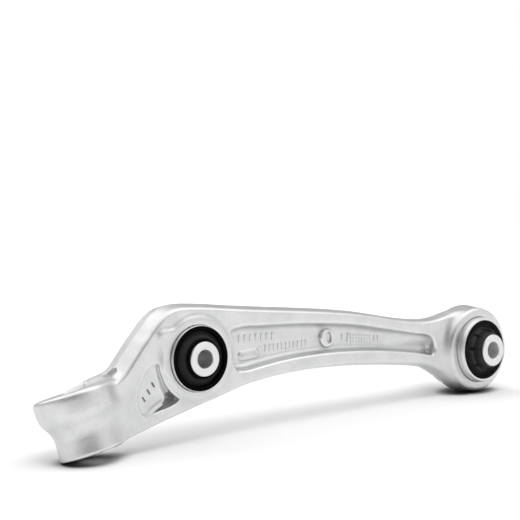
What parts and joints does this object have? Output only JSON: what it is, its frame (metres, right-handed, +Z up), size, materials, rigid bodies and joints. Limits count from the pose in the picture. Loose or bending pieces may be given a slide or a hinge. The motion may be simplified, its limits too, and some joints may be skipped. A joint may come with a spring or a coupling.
{
  "type": "suspension control arm",
  "caption": "Forged aluminium I-section control arm with a tapered-pin eye, a damper-fork bush and a chassis bush with bonded rubber.",
  "frame": {"origin": "bottom centre of the bounding box, with the arm standing on edge on its pin eye and its chassis eye", "axes": "+X along the arm towards the chassis bush, -Y the front face, +Z up; both bush axes lie along Y"},
  "size_m": [0.4306, 0.0668, 0.0958],
  "materials": {
    "forged_aluminium": "shot-blasted satin",
    "turned_aluminium": "fine turned satin",
    "sleeve_steel": "plain drawn steel",
    "black_rubber": "moulded, semi-matt"
  },
  "bodies": {
    "arm": {"forged_arm": "forged_aluminium", "damper_bush_outer_sleeve": "turned_aluminium", "damper_bush_outer_rubber": "black_rubber", "chassis_bush_outer_sleeve": "turned_aluminium", "chassis_bush_outer_rubber": "black_rubber"},
    "damper_middle": {"damper_bush_middle_sleeve": "sleeve_steel", "damper_bush_inner_rubber": "black_rubber"},
    "damper_inner": {"damper_bush_inner_sleeve": "turned_aluminium"},
    "chassis_middle": {"chassis_bush_middle_sleeve": "sleeve_steel", "chassis_bush_inner_rubber": "black_rubber"},
    "chassis_inner": {"chassis_bush_inner_sleeve": "turned_aluminium"}
  },
  "joints": [
    {"name": "damper_bush_twist", "type": "hinge", "parent": "arm", "child": "damper_inner", "pos_m": [-0.10268, 0, 0.05847], "axis": [0, 1, 0], "range_deg": [-20, 20], "stiffness_Nm_per_rad": 80},
    {"name": "damper_middle_twist", "type": "hinge", "parent": "arm", "child": "damper_middle", "pos_m": [-0.10268, 0, 0.05847], "axis": [0, 1, 0], "range_deg": [-6, 6]},
    {"name": "chassis_bush_twist", "type": "hinge", "parent": "arm", "child": "chassis_inner", "pos_m": [0.17895, 0, 0.03635], "axis": [0, 1, 0], "range_deg": [-25, 25], "stiffness_Nm_per_rad": 115},
    {"name": "chassis_middle_twist", "type": "hinge", "parent": "arm", "child": "chassis_middle", "pos_m": [0.17895, 0, 0.03635], "axis": [0, 1, 0], "range_deg": [-6, 6]}
  ],
  "couplings": [
    {"joint": "damper_middle_twist", "follows": "damper_bush_twist", "ratio": 0.26},
    {"joint": "chassis_middle_twist", "follows": "chassis_bush_twist", "ratio": 0.21}
  ]
}
